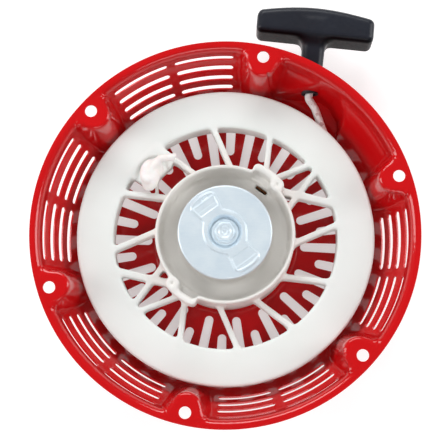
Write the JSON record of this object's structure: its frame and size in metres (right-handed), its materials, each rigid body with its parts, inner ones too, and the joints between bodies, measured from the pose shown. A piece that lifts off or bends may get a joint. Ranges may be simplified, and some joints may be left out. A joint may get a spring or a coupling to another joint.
{
  "type": "recoil starter",
  "caption": "Pull-rope recoil starter: round vented steel housing with bolt lobes around a white rope reel, steel guide plate on the hub and a T-shaped pull grip on its rope.",
  "frame": {"origin": "centre of the bolt circle, on the seat face of the housing", "axes": "+Z is the normal of the seat face, towards the engine, and is the reel's axis. +Y points towards the pull grip and +X to the right when seen from the engine side"},
  "size_m": [0.22, 0.246, 0.0542],
  "materials": {
    "red_paint": "gloss",
    "white_nylon": "satin",
    "zinc_plate": "satin",
    "steel": "satin",
    "bronze": "satin",
    "spring_steel": "tempered",
    "dark_plastic": "matte",
    "rope": "braided",
    "grip_black": "satin"
  },
  "bodies": {
    "housing": {"housing": "red_paint", "centre_post": "steel", "thrust_washer": "steel", "rope_guide": "dark_plastic", "centre_screw": "zinc_plate"},
    "reel": {"reel": "white_nylon", "reel_hub": "white_nylon", "reel_bush": "bronze", "main_spring": "spring_steel", "ratchet_pin_right": "steel", "ratchet_pin_left": "steel", "ratchet_spring_right": "steel", "ratchet_spring_left": "steel", "rope_on_reel": "rope", "reel_knot": "rope"},
    "guide_plate": {"guide_plate": "zinc_plate", "friction_spring": "steel"},
    "ratchet_right": {"ratchet_right": "steel"},
    "ratchet_left": {"ratchet_left": "steel"},
    "handle": {"grip": "grip_black", "grip_washer": "steel", "grip_knot": "rope", "rope_lead": "rope"}
  },
  "joints": [
    {"name": "reel_spin", "type": "hinge", "parent": "housing", "child": "reel", "pos_m": [0, 0, -0.03], "axis": [0, 0, 1], "range_deg": [0, 1080], "deforming": ["main_spring"]},
    {"name": "handle_pull", "type": "slide", "parent": "housing", "child": "handle", "axis": [0.0924, 0.9957, 0], "range_m": [0, 1.37], "deforming": ["rope_lead"]},
    {"name": "guide_turn", "type": "hinge", "parent": "reel", "child": "guide_plate", "pos_m": [0, 0, -0.003], "axis": [0, 0, 1], "range_deg": [-20, 0]},
    {"name": "ratchet_right_swing", "type": "hinge", "parent": "reel", "child": "ratchet_right", "pos_m": [0.01644, 0.00599, -0.009], "axis": [0, 0, 1], "range_deg": [-25, 0]},
    {"name": "ratchet_left_swing", "type": "hinge", "parent": "reel", "child": "ratchet_left", "pos_m": [-0.01644, -0.00599, -0.009], "axis": [0, 0, 1], "range_deg": [-25, 0]}
  ],
  "couplings": [
    {"joint": "handle_pull", "follows": "reel_spin", "m_per_rad": 0.0723},
    {"joint": "ratchet_right_swing", "follows": "guide_turn", "ratio": 1.25},
    {"joint": "ratchet_left_swing", "follows": "guide_turn", "ratio": 1.25}
  ]
}
